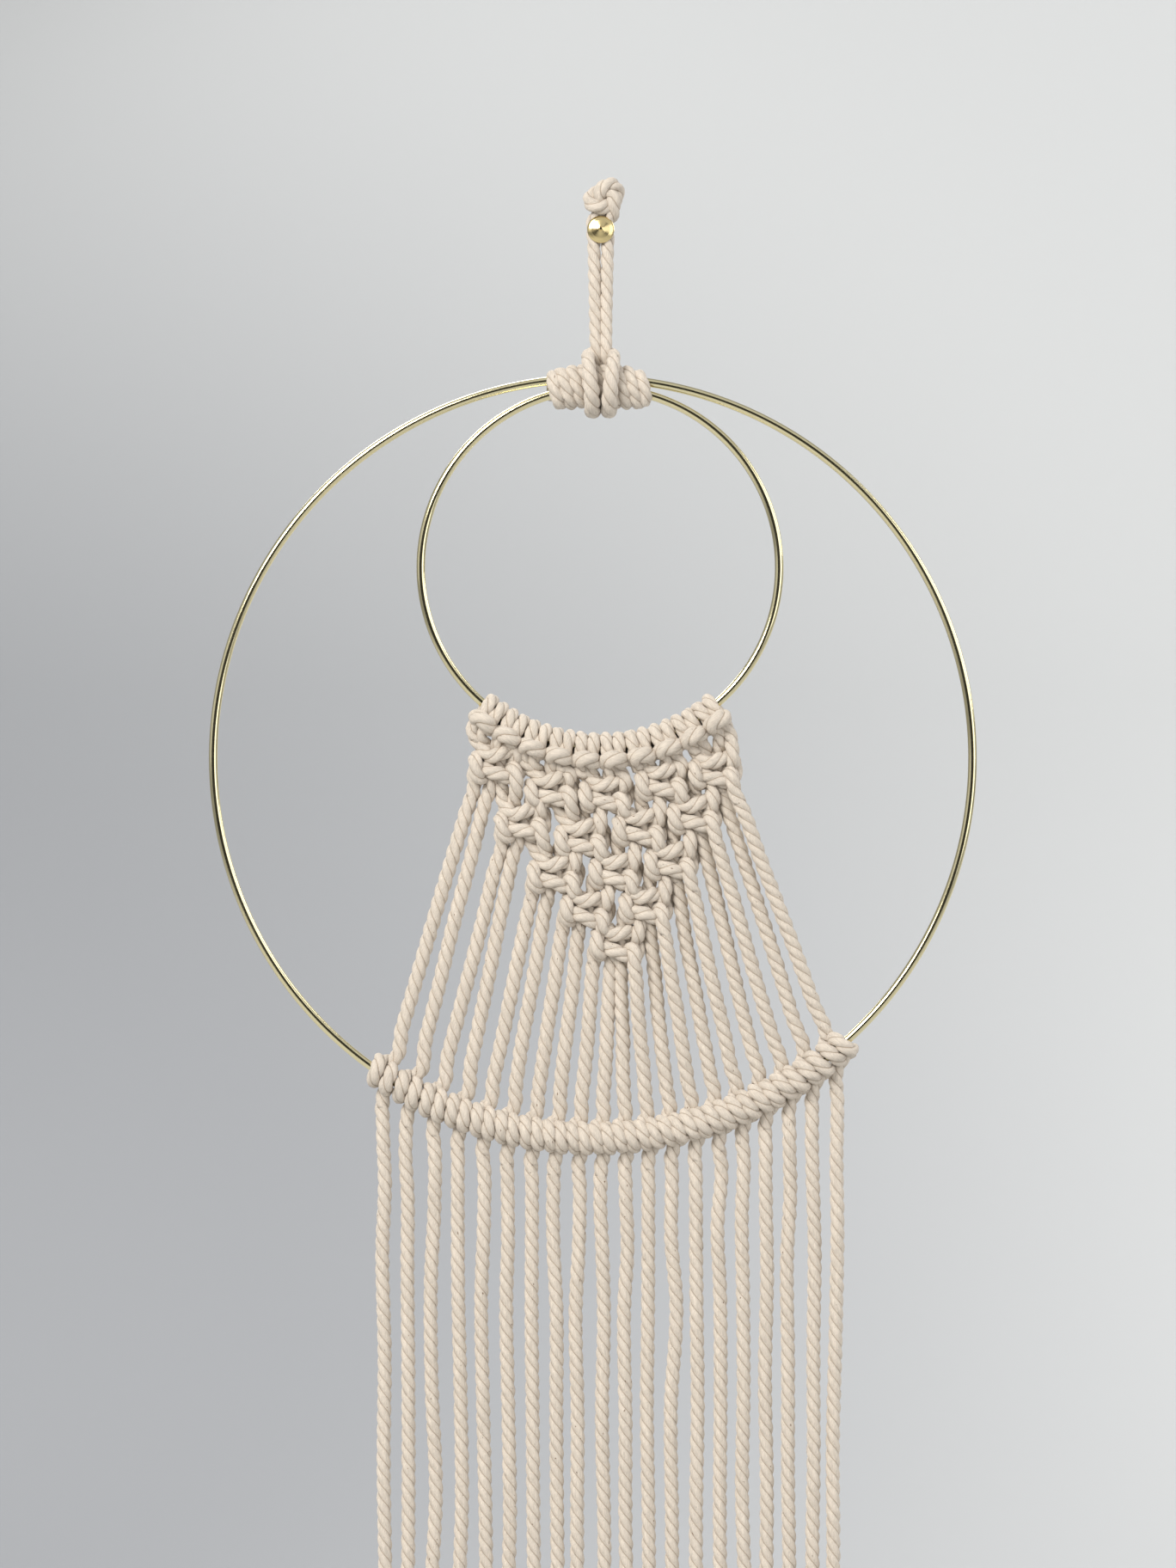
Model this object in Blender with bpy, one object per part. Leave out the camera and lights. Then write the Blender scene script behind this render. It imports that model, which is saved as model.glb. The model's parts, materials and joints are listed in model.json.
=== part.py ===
"""Double-hoop cord wall hanging: two brass hoops, ten doubled cords, a hanging loop and a tack."""
import math

import bmesh
import bpy
from mathutils import Vector

mm = 0.001

# Driving dimensions. The wall is the plane y = 0 and the tack enters it at the origin.
CORD = 5.2 * mm             # working cord, diameter
LOOP_CORD = 4.5 * mm        # hanging loop under load, diameter
WIRE = 3.4 * mm             # hoop wire, diameter
GAP = 0.35 * mm             # clearance between touching pieces
HOOP_Y = -13.0 * mm         # plane of both hoops, in front of the wall
FRINGE = 300.0 * mm         # free cord below each hitch

LARGE_HOOP = {"x": -3.1 * mm, "z": -207.6 * mm, "radius": 148.3 * mm, "steps": 72}
SMALL_HOOP = {"x": -0.3 * mm, "z": -133.1 * mm, "radius": 70.0 * mm, "steps": 48}

SLEEVE = WIRE / 2 + CORD    # outer radius of cord wound once on a hoop
HITCHES = 20                # one for each cord end
HITCH_LENGTH = 8.6 * mm     # along the large hoop
LARKS_LENGTH = 18.7 * mm    # one pair of lark's heads, along the small hoop
LARKS_STEP = 16.4           # degrees of the small hoop from one pair to the next

WRAP = {"x": -0.6 * mm, "z": -62.2 * mm, "length": 42.0 * mm, "height": 17.4 * mm, "depth": 13.8 * mm}
TILT_PIVOT = Vector((0.0, -7.9 * mm, -42.5 * mm))

TACK = {"head": 5.35 * mm, "thick": 2.6 * mm, "shank": 0.9 * mm, "stand": 5.6 * mm, "depth": 9.0 * mm,
        "taper": 0.7}       # part of the depth in the wall before the shank narrows to its tip
# The head's outline from its centre point to its rim: radius and thickness as parts of the whole
TACK_OUTLINE = [(0.0, 1.0), (0.13, 1.0), (0.17, 0.88), (0.6, 0.55), (0.88, 0.25), (1.0, 0.1),
                (0.97, 0.0), (0.0, 0.0)]

LOOP_KNOT = {"centre": Vector((2.1, -4.6, 12.2)) * mm, "size": Vector((14.6, 8.4, 11.4)) * mm}
LOOP_END = 2.6 * mm         # from the end of each loop leg to the tilt pivot
SLACK = 0.3 * mm            # more clearance where cord hangs loose

# Centres of the square knots, row by row from the top, as (x, z) in mm
KNOT_ROWS = [
    [(-40.9, -210.0), (-19.7, -219.7), (1.4, -221.4), (23.5, -216.4), (43.9, -212.3)],
    [(-31.2, -232.5), (-8.0, -238.5), (14.8, -234.5), (36.0, -229.5)],
    [(-18.4, -252.6), (5.1, -251.6), (26.9, -247.6)],
    [(-6.0, -266.4), (16.9, -265.0)],
    [(6.1, -279.5)],
]
KNOT_SIZE = Vector((19.4, 14.0, 14.4)) * mm

# Each doubled cord of the fan: row and column of its knot, then where its two ends leave it, in mm
FAN = [
    (1, 1, -10.5, -4.0), (2, 1, -10.5, -3.5), (3, 1, -9.9, -2.8), (4, 1, -9.8, -2.2),
    (5, 1, -8.4, -2.8), (5, 1, 2.8, 8.4),
    (4, 2, 3.0, 10.0), (3, 3, 3.6, 10.4), (2, 4, 4.0, 10.6), (1, 5, 5.5, 12.0),
]

# How far each fringe cord wanders sideways before its end, in mm
FRINGE_SWAY = [2.8, -0.4, 0.4, 0.8, 1.7, -0.5, 1.2, 1.2, 0.3, 0.5,
               0.8, 0.4, -0.3, 0.6, 0.4, 0.3, -0.7, -1.8, -0.8, -2.2]

# Left half of the cow hitch round the wrap, from the loop leg to the crown behind it, in mm
HITCH_ROUTE = [
    (-2.5, -8.2, -45.2), (-2.5, -7.9, -48.5), (-2.5, -6.6, -52.5), (-2.6, -4.2, -57.0), (-2.7, -3.1, -62.0),
    (-3.1, -4.5, -68.6), (-3.6, -8.6, -73.4), (-4.1, -13.5, -74.4), (-4.5, -18.9, -72.4),
    (-4.7, -22.5, -67.4), (-4.9, -23.4, -61.4), (-5.3, -22.0, -55.6), (-6.2, -17.4, -50.6),
    (-7.4, -11.8, -48.3), (-7.6, -6.9, -47.6), (-4.6, -3.3, -47.4), (0.0, -2.7, -47.3),
]


def clear_scene():
    for item in list(bpy.data.objects):
        bpy.data.objects.remove(item)


def new_collection(name):
    group = bpy.data.collections.new(name)
    bpy.context.scene.collection.children.link(group)
    return group


def new_material(name, colour, roughness, metallic):
    material = bpy.data.materials.new(name)
    material.use_nodes = True
    shader = material.node_tree.nodes["Principled BSDF"]
    shader.inputs["Base Color"].default_value = (*colour, 1.0)
    shader.inputs["Roughness"].default_value = roughness
    shader.inputs["Metallic"].default_value = metallic
    return material


def brass(name):
    return new_material(name, (0.83, 0.66, 0.40), 0.25, 1.0)


def cotton(name):
    return new_material(name, (0.80, 0.73, 0.64), 0.95, 0.0)


def add_object(name, data, group):
    item = bpy.data.objects.new(name, data)
    group.objects.link(item)
    return item


def smooth_route(points, spacing):
    """A Catmull-Rom curve through the points, read about every `spacing`."""
    ends = [points[0] * 2 - points[1]] + list(points) + [points[-1] * 2 - points[-2]]
    route = []
    for a, b, c, d in zip(ends, ends[1:], ends[2:], ends[3:]):
        steps = max(1, round((c - b).length / spacing))
        for step in range(steps):
            t = step / steps
            route.append(0.5 * (2 * b + (c - a) * t + (2 * a - 5 * b + 4 * c - d) * t ** 2
                                + (3 * b - a - 3 * c + d) * t ** 3))
    route.append(points[-1])
    return route


def round_end(end, direction, radius):
    """Points and width factors that close a cord with a half ball, from its full width to its tip."""
    angles = [math.radians(a) for a in (0, 35, 65, 84)]
    return [(end + direction * radius * math.sin(a), math.cos(a)) for a in angles]


def tube(name, points, diameter, group, closed=False, widths=None):
    """A round cord or wire along the points, as a mesh with welded caps."""
    curve = bpy.data.curves.new(name, "CURVE")
    curve.dimensions = "3D"
    curve.bevel_depth = diameter / 2
    curve.bevel_resolution = 2
    curve.use_fill_caps = True
    spline = curve.splines.new("POLY")
    spline.points.add(len(points) - 1)
    for index, place in enumerate(points):
        spline.points[index].co = (*place, 1.0)
        spline.points[index].radius = widths[index] if widths else 1.0
    spline.use_cyclic_u = closed
    return welded(add_object(name, curve, group), group)


def welded(item, group):
    """Turn an object into a plain mesh of one closed body."""
    bpy.context.view_layer.update()
    evaluated = item.evaluated_get(bpy.context.evaluated_depsgraph_get())
    mesh = bpy.data.meshes.new_from_object(evaluated)
    name = item.name
    bpy.data.objects.remove(item)
    work = bmesh.new()
    work.from_mesh(mesh)
    bmesh.ops.remove_doubles(work, verts=work.verts, dist=0.01 * mm)
    work.to_mesh(mesh)
    work.free()
    return add_object(name, mesh, group)


def boolean(item, tool, operation, group, keep_tool=False):
    modifier = item.modifiers.new(operation.lower(), "BOOLEAN")
    modifier.operation = operation
    modifier.object = tool
    result = welded(item, group)
    if not keep_tool:
        bpy.data.objects.remove(tool)
    return result


def solid(name, build, group):
    """A mesh object from one bmesh primitive call."""
    work = bmesh.new()
    build(work)
    mesh = bpy.data.meshes.new(name)
    work.to_mesh(mesh)
    work.free()
    return add_object(name, mesh, group)


def finish(item, material, parent=None):
    item.name = item.name.split(".")[0]
    item.data.name = item.name
    item.data.materials.clear()
    item.data.materials.append(material)
    item.data.shade_smooth()
    item.data.set_sharp_from_angle(angle=math.radians(50))
    if parent:
        bpy.context.view_layer.update()
        item.parent = parent
        item.matrix_parent_inverse = parent.matrix_world.inverted()
    return item


def move_origin(item, place):
    """Put the object's origin at a place without moving its shape."""
    for vertex in item.data.vertices:
        vertex.co -= place
    item.location = place


def pivot(name, place):
    empty = bpy.data.objects.new(name, None)
    bpy.context.scene.collection.objects.link(empty)
    empty.location = place
    empty.empty_display_size = 20 * mm
    bpy.context.view_layer.update()
    return empty


def on_hoop(hoop, degrees, outward=0.0):
    """A point on a hoop's centre line, counted from its lowest point towards +X."""
    angle = math.radians(degrees)
    reach = hoop["radius"] + outward
    return Vector((hoop["x"] + reach * math.sin(angle), HOOP_Y, hoop["z"] - reach * math.cos(angle)))


def hoop_wire(name, hoop, diameter, group):
    steps = hoop["steps"]
    points = [on_hoop(hoop, 360.0 * step / steps) for step in range(steps)]
    return tube(name, points, diameter, group, closed=True)


def sleeve(name, hoop, degrees, length, group):
    """Cord wound on a stretch of a hoop, before its bore is cut."""
    half = math.degrees(length / hoop["radius"]) / 2
    points = [on_hoop(hoop, degrees + half * side) for side in (-1.0, -0.5, 0.0, 0.5, 1.0)]
    return tube(name, points, 2 * SLEEVE, group)


def hitch_angle(index):
    """Place of each hitch on the large hoop: the end ones lie a little wider apart."""
    t = 2.0 * index / (HITCHES - 1) - 1.0
    return 3.2 + 33.5 * t + 3.3 * t ** 3


def make_tack(group):
    """A low round head with a small centre point, and a shank with a sharp tip."""
    head_y = -TACK["stand"]
    points = [Vector((radius * TACK["head"], head_y - thick * TACK["thick"], 0.0))
              for radius, thick in TACK_OUTLINE]
    head = turned("tack_head", points, group)
    finish(head, brass("tack_head"))

    start = head_y + GAP
    shank_profile = [(0.0, start), (TACK["shank"], start), (TACK["shank"], TACK["taper"] * TACK["depth"]),
                     (0.0, TACK["depth"])]
    shank = turned("tack_shank", [Vector((radius, depth, 0.0)) for radius, depth in shank_profile], group)
    finish(shank, brass("tack_shank"))


def turned(name, points, group):
    """A profile in the XY plane turned about the Y axis."""
    work = bmesh.new()
    outline = [work.verts.new(point) for point in points]
    edges = [work.edges.new(pair) for pair in zip(outline, outline[1:])]
    bmesh.ops.spin(work, geom=outline + edges, cent=(0, 0, 0), axis=(0, 1, 0), angle=math.tau, steps=24)
    bmesh.ops.remove_doubles(work, verts=work.verts, dist=0.01 * mm)
    bmesh.ops.recalc_face_normals(work, faces=work.faces)
    mesh = bpy.data.meshes.new(name)
    work.to_mesh(mesh)
    work.free()
    return add_object(name, mesh, group)


def make_hanging_loop(group, parent):
    """An upturned U over the shank, whose two legs end in half balls at the tilt pivot."""
    half = TACK["shank"] + GAP + LOOP_CORD / 2 + SLACK
    top_y = -LOOP_CORD / 2 - 2 * SLACK
    low_x = LOOP_CORD / 2 + GAP
    leg_top = Vector((-half, top_y, 0.0))
    leg_end = Vector((-low_x, TILT_PIVOT.y, TILT_PIVOT.z + LOOP_END))
    leg_points = [leg_end, leg_end.lerp(leg_top, 0.5), leg_top]
    tip = round_end(leg_end, Vector((0, 0, -1)), LOOP_CORD / 2)
    left = [place for place, width in reversed(tip[1:])] + smooth_route(leg_points, 3 * LOOP_CORD)
    arch = [Vector((-half * math.cos(a), top_y, half * math.sin(a)))
            for a in (math.radians(30 * step) for step in range(1, 6))]
    right = [Vector((-place.x, place.y, place.z)) for place in reversed(left)]
    points = left + arch + right
    widths = [width for place, width in reversed(tip[1:])]
    widths = widths + [1.0] * (len(points) - 2 * len(widths)) + widths[::-1]
    loop = tube("hanging_loop", points, LOOP_CORD, group, widths=widths)
    finish(loop, cotton("hanging_loop"), parent)


def make_loop_knot(group, parent):
    """The overhand knot that joins the loop's ends, a squashed ball above the tack."""
    knot = ball("loop_knot", LOOP_KNOT["centre"], LOOP_KNOT["size"], group)
    finish(knot, cotton("loop_knot"), parent)


def ball(name, centre, size, group):
    knot = solid(name, lambda work: bmesh.ops.create_uvsphere(
        work, u_segments=12, v_segments=8, radius=0.5), group)
    for vertex in knot.data.vertices:
        vertex.co = Vector((vertex.co.x * size.x, vertex.co.y * size.y, vertex.co.z * size.z)) + centre
    return knot


def make_cow_hitch(group, parent):
    """The loop's doubled end passed round the wrap and over its own legs."""
    half = [Vector(point) * mm for point in HITCH_ROUTE]
    route = half + [Vector((-point.x, point.y, point.z)) for point in reversed(half[:-1])]
    tip = round_end(half[0], Vector((0, 0, 1)), LOOP_CORD / 2)
    start = [place for place, width in reversed(tip[1:])]
    points = start + smooth_route(route, 1.2 * LOOP_CORD)
    points += [Vector((-place.x, place.y, place.z)) for place in reversed(start)]
    widths = [width for place, width in reversed(tip[1:])]
    widths = widths + [1.0] * (len(points) - 2 * len(widths)) + widths[::-1]
    hitch = tube("cow_hitch", points, LOOP_CORD, group, widths=widths)
    finish(hitch, cotton("cow_hitch"), parent)


def make_ring_wrap(group, parent, bores):
    """The cord wound round both hoops, an oval barrel with rounded ends."""
    profile = [(-0.5, 0.62), (-0.46, 0.8), (-0.36, 0.93), (-0.18, 1.0), (0.18, 1.0), (0.36, 0.93),
               (0.46, 0.8), (0.5, 0.62)]
    centre = Vector((WRAP["x"], HOOP_Y, WRAP["z"]))
    work = bmesh.new()
    rings = []
    for along, width in profile:
        ring = bmesh.ops.create_circle(work, segments=16, radius=0.5 * width)["verts"]
        for vertex in ring:
            vertex.co = centre + Vector((along * WRAP["length"], vertex.co.x * WRAP["depth"],
                                         vertex.co.y * WRAP["height"]))
        rings.append([edge for edge in work.edges if edge.verts[0] in ring and edge.verts[1] in ring])
    for near, far in zip(rings, rings[1:]):
        bmesh.ops.bridge_loops(work, edges=near + far)
    bmesh.ops.holes_fill(work, edges=rings[0] + rings[-1], sides=16)
    bmesh.ops.recalc_face_normals(work, faces=work.faces)
    mesh = bpy.data.meshes.new("ring_wrap")
    work.to_mesh(mesh)
    work.free()
    wrap = add_object("ring_wrap", mesh, group)
    for bore in bores:
        wrap = boolean(wrap, bore, "DIFFERENCE", group, keep_tool=True)
    finish(wrap, cotton("ring_wrap"), parent)


def make_larks_heads(group, parent, bore):
    """Pairs of lark's heads on the small hoop, each with a neck down to the first row of knots."""
    for index, (x, z) in enumerate(KNOT_ROWS[0]):
        degrees = (index - 2) * LARKS_STEP
        name = f"larks_head_pair_{index + 1}"
        item = sleeve(name, SMALL_HOOP, degrees, LARKS_LENGTH, group)
        low = Vector((x, HOOP_Y / mm, z)) * mm + Vector((0, 0, KNOT_SIZE.z / 2 + GAP))
        high = on_hoop(SMALL_HOOP, degrees, SLEEVE - 3 * mm)
        waist = low + Vector((0, 0, 1.5 * mm))
        neck = tube("neck", [high, waist, low], 2 * CORD, group, widths=[1.1, 0.98, 0.9])
        item = boolean(item, neck, "UNION", group)
        item = boolean(item, bore, "DIFFERENCE", group, keep_tool=True)
        finish(item, cotton(name), parent)


def make_square_knots(group, parent):
    for row, places in enumerate(KNOT_ROWS, start=1):
        for column, (x, z) in enumerate(places, start=1):
            name = f"square_knot_r{row}c{column}"
            centre = Vector((x * mm, HOOP_Y, z * mm))
            finish(ball(name, centre, KNOT_SIZE, group), cotton(name), parent)


def fan_top(pair):
    row, column, first, second = FAN[pair]
    x, z = KNOT_ROWS[row - 1][column - 1]
    top_z = z * mm - KNOT_SIZE.z / 2 - GAP - CORD / 2
    return [Vector(((x + side) * mm, HOOP_Y, top_z)) for side in (first, second)]


def make_fan(group, parent, bore):
    """Each doubled cord leaves a knot, spreads to two hitches and is wound on the large hoop there."""
    for pair in range(len(FAN)):
        name = f"fan_cord_{pair + 1:02d}"
        left, right = fan_top(pair)
        bend = (right.x - left.x) / 2
        middle = (left + right) / 2 - Vector((0, 0, bend))
        arch = [middle + Vector((-bend * math.cos(a), 0, bend * math.sin(a)))
                for a in (math.radians(36 * step) for step in range(6))]
        degrees = [hitch_angle(2 * pair), hitch_angle(2 * pair + 1)]
        feet = [on_hoop(LARGE_HOOP, angle, -0.6 * SLEEVE) for angle in degrees]
        first = smooth_route([feet[0], arch[0]], 3 * CORD)[:-1]
        last = smooth_route([arch[-1], feet[1]], 3 * CORD)[1:]
        item = tube(name, first + arch + last, CORD, group)
        for angle in degrees:
            coil = sleeve("coil", LARGE_HOOP, angle, HITCH_LENGTH, group)
            item = boolean(item, coil, "UNION", group)
        item = boolean(item, bore, "DIFFERENCE", group, keep_tool=True)
        finish(item, cotton(name), parent)


def make_fringe(group, parent):
    """Free cords that hang from the hitches, each with its origin on its own hinge."""
    for index in range(HITCHES):
        name = f"fringe_strand_{index + 1:02d}"
        degrees = hitch_angle(index)
        hinge = on_hoop(LARGE_HOOP, degrees)
        slope = math.radians(degrees)
        drop = SLEEVE / math.cos(slope) + CORD / 2 * abs(math.tan(slope)) + GAP
        sway = FRINGE_SWAY[index] * mm
        low = FRINGE + drop
        route = [Vector((0, 0, -drop)), Vector((0.1 * sway, 0, -0.3 * low)),
                 Vector((0.5 * sway, 0, -0.6 * low)), Vector((sway, 0, -low))]
        item = tube(name, [hinge + place for place in smooth_route(route, 3 * CORD)], CORD, group)
        move_origin(item, hinge)
        finish(item, cotton(name), parent)


def main():
    clear_scene()
    group = new_collection("hoop_wall_hanging")
    cutters = new_collection("cutters")
    swing = pivot("swing_pivot", Vector((0, 0, 0)))
    tilt = pivot("tilt_pivot", TILT_PIVOT)
    tilt.parent = swing

    bores = []
    for name, hoop in (("large_hoop", LARGE_HOOP), ("small_hoop", SMALL_HOOP)):
        finish(hoop_wire(name, hoop, WIRE, group), brass(name), tilt)
        bore = hoop_wire(name + "_bore", hoop, WIRE + 2 * GAP, cutters)
        bore.hide_render = True
        bore.display_type = "WIRE"
        bores.append(bore)

    make_tack(group)
    make_hanging_loop(group, swing)
    make_loop_knot(group, swing)
    make_cow_hitch(group, tilt)
    make_ring_wrap(group, tilt, bores)
    make_larks_heads(group, tilt, bores[1])
    make_square_knots(group, tilt)
    make_fan(group, tilt, bores[0])
    make_fringe(group, tilt)


main()
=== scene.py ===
import json
import math

import bpy
import numpy as np
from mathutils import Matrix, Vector


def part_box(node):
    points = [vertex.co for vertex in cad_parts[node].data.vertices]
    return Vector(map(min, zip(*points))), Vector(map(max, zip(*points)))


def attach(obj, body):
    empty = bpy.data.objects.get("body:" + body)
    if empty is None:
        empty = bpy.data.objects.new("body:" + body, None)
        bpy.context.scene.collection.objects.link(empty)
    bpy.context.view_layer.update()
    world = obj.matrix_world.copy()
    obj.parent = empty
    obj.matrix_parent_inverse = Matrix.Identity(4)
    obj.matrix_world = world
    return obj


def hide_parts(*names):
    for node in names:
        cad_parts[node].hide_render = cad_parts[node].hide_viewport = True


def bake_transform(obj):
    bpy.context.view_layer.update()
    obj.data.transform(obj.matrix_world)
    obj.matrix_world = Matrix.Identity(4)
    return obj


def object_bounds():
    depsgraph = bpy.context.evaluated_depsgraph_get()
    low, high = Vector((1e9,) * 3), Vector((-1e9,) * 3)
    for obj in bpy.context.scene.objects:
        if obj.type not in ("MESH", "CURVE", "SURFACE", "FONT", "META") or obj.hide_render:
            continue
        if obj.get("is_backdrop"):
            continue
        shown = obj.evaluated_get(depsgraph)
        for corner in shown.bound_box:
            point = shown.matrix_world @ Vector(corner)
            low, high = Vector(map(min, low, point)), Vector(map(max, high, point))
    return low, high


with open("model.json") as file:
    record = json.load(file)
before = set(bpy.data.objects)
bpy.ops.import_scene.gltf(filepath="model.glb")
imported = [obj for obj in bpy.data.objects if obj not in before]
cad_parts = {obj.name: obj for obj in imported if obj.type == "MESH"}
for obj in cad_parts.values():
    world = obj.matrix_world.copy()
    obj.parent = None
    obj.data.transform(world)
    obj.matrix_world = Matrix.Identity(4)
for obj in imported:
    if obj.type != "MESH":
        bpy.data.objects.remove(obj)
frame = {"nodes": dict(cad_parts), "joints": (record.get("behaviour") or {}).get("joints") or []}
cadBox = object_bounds()
mm = 0.001
random = np.random.default_rng(11)
print("frame loaded:", len(frame["nodes"]), "nodes")


# ---- camera: straight on, level with the middle of the fan
cameraFacts = {"centre": (-5.0 * mm, -13 * mm, -217.7 * mm), "distance": 1.5, "viewHeight": 612.5 * mm}


def makeCamera():
    # A level camera whose lens fits the view's height at its distance, lens = sensor * distance / height.
    data = bpy.data.cameras.new("camera")
    data.lens = data.sensor_width * cameraFacts["distance"] / cameraFacts["viewHeight"]
    camera = bpy.data.objects.new("camera", data)
    x, y, z = cameraFacts["centre"]
    camera.location = (x, y - cameraFacts["distance"], z)
    camera.rotation_euler = (math.pi / 2, 0, 0)
    bpy.context.scene.collection.objects.link(camera)
    bpy.context.scene.camera = camera


makeCamera()


# ---- twisted cotton cord
cordFacts = {
    "diameter": 5.2 * mm,     # the mean, between the strands' crowns and the creases
    "layPitch": 15.7 * mm,    # length of one full turn of a strand
    "lobe": 0.65,             # radius of one strand, as a part of the cord's radius
    "around": 24,             # points round the cord, a multiple of three
    "step": 1.3 * mm,         # between rings of points
    "wobble": 0.025,          # how far the strands swell and shrink along the cord, as a part of its radius
    "wobbleRate": 410,        # radians of that wobble per metre
    "sharpEdge": 75,          # degrees: only the rims of cut ends are sharper
    "ownPattern": 0.37,       # metres between one cord's place in the cotton pattern and the next cord's
}


def smoothPath(route, step):
    # A cubic through the route points. At each point its slope is the mean of the two neighbouring slopes,
    # each weighted by the other's length. It is read at equal distances along itself.
    route = np.asarray(route, float)
    gaps = np.linalg.norm(np.diff(route, axis=0), axis=1)
    place = np.concatenate(([0.0], np.cumsum(gaps)))
    slope = np.diff(route, axis=0) / gaps[:, None]
    lean = np.concatenate((slope[:1], slope))
    lean[1:-1] = slope[:-1] * gaps[1:, None] + slope[1:] * gaps[:-1, None]
    lean[1:-1] /= (gaps[:-1] + gaps[1:])[:, None]
    fine = np.linspace(0.0, place[-1], int(place[-1] / (0.2 * step)) + 2)
    i = np.clip(np.searchsorted(place, fine, side="right") - 1, 0, len(gaps) - 1)
    h = gaps[i][:, None]
    t = (fine - place[i])[:, None] / h
    line = ((1 + 2 * t) * (1 - t) ** 2 * route[i] + t * (1 - t) ** 2 * h * lean[i]
            + t ** 2 * (3 - 2 * t) * route[i + 1] + t ** 2 * (t - 1) * h * lean[i + 1])
    run = np.concatenate(([0.0], np.cumsum(np.linalg.norm(np.diff(line, axis=0), axis=1))))
    even = np.linspace(0.0, run[-1], max(4, round(run[-1] / step) + 1))
    path = np.stack([np.interp(even, run, line[:, k]) for k in range(3)], axis=1)
    return path, np.interp(even, run, fine), place


def steadySides(path):
    # Tangent, side and back vectors that don't spin as the path turns: each side vector is the last one
    # with its part along the new tangent taken out. The first comes from a direction that no cord takes.
    tangent = np.gradient(path, axis=0)
    tangent /= np.linalg.norm(tangent, axis=1)[:, None]
    side = np.empty_like(tangent)
    last = np.cross(tangent[0], (0.31, 0.87, 0.38))
    for i, along in enumerate(tangent):
        last = last - along * (last @ along)
        last = last / np.sqrt(last @ last)
        side[i] = last
    return tangent, side, np.cross(tangent, side)


def cordSkin(path, sides, run, width, diameter, seed):
    # Three strands side by side: each ring's radius is the outline of three circles set round the axis,
    # r = b cos(f) + sqrt(a^2 - b^2 sin(f)^2), f counted from the nearest strand's middle, a + b = 1.
    # The rings turn against the length by one turn for each lay pitch, so grid lines follow the strands.
    # `width` is the cord's width at each ring, as a part of its diameter.
    _, side, back = sides
    around = cordFacts["around"]
    angle = np.arange(around) * (2 * np.pi / around)
    fromStrand = (angle + np.pi / 3) % (2 * np.pi / 3) - np.pi / 3
    a = cordFacts["lobe"]
    b = 1 - a
    outline = b * np.cos(fromStrand) + np.sqrt(a ** 2 - (b * np.sin(fromStrand)) ** 2)
    turn = angle[None, :] - 2 * np.pi * run[:, None] / cordFacts["layPitch"]
    swell = np.sin(run[:, None] * cordFacts["wobbleRate"] + seed) * np.cos(3 * angle[None, :] + seed)
    wobble = 1 + cordFacts["wobble"] * swell
    radius = diameter / 2 * width[:, None] * (outline / outline.mean())[None, :] * wobble
    skin = (path[:, None, :] + (radius * np.cos(turn))[:, :, None] * side[:, None, :]
            + (radius * np.sin(turn))[:, :, None] * back[:, None, :])
    # crown: how high each point is on its strand; the cotton paints shade in the creases, where it is low
    low = outline.min()
    crown = np.broadcast_to((outline - low) / (1 - low), radius.shape)
    yarn = np.stack((radius * np.cos(turn), radius * np.sin(turn),
                     np.broadcast_to(run[:, None] + cordFacts["ownPattern"] * seed, radius.shape)), axis=2)
    return skin, crown, yarn


def tubeFaces(rings, around, first):
    # Quads between neighbouring rings of a tube, and a fan on each end round its own middle point.
    i = np.arange(rings - 1)[:, None] * around
    j = np.arange(around)[None, :]
    k = (np.arange(around) + 1)[None, :] % around
    quads = np.stack((i + j, i + k, i + around + k, i + around + j), axis=2).reshape(-1, 4) + first
    startMiddle = first + rings * around
    j, k = j[0], k[0]
    last = first + (rings - 1) * around
    startFan = np.stack((np.full(around, startMiddle), first + k, first + j), axis=1)
    endFan = np.stack((np.full(around, startMiddle + 1), last + j, last + k), axis=1)
    return quads, np.concatenate((startFan, endFan))


cutFaceCrown = 0.6     # the middle of a cut end takes its colour from between crown and the painted crease shade


def addPiece(name, mesh):
    piece = bpy.data.objects.new(name, mesh)
    bpy.context.scene.collection.objects.link(piece)
    return piece


def meshFromTubes(name, tubes):
    # One mesh from several closed tubes, each with its skin points, how high each point is on its strand,
    # and its place on the untwisted cord.
    points, crowns, yarns, quads, fans = [], [], [], [], []
    first = 0
    for skin, crown, yarn in tubes:
        rings, around, _ = skin.shape
        q, f = tubeFaces(rings, around, first)
        quads.append(q)
        fans.append(f)
        points += [skin.reshape(-1, 3), skin[[0, -1]].mean(axis=1)]
        crowns += [crown.reshape(-1), np.full(2, cutFaceCrown)]
        yarns += [yarn.reshape(-1, 3), yarn[[0, -1]].mean(axis=1)]
        first += rings * around + 2
    mesh = bpy.data.meshes.new(name)
    mesh.from_pydata(np.concatenate(points).tolist(), [],
                     np.concatenate(quads).tolist() + np.concatenate(fans).tolist())
    crown = mesh.attributes.new("crown", "FLOAT", "POINT")
    crown.data.foreach_set("value", np.concatenate(crowns).astype(np.float32))
    yarn = mesh.attributes.new("yarn", "FLOAT_VECTOR", "POINT")
    yarn.data.foreach_set("vector", np.concatenate(yarns).astype(np.float32).ravel())
    mesh.shade_smooth()
    mesh.set_sharp_from_angle(angle=math.radians(cordFacts["sharpEdge"]))
    return addPiece(name, mesh)


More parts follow.
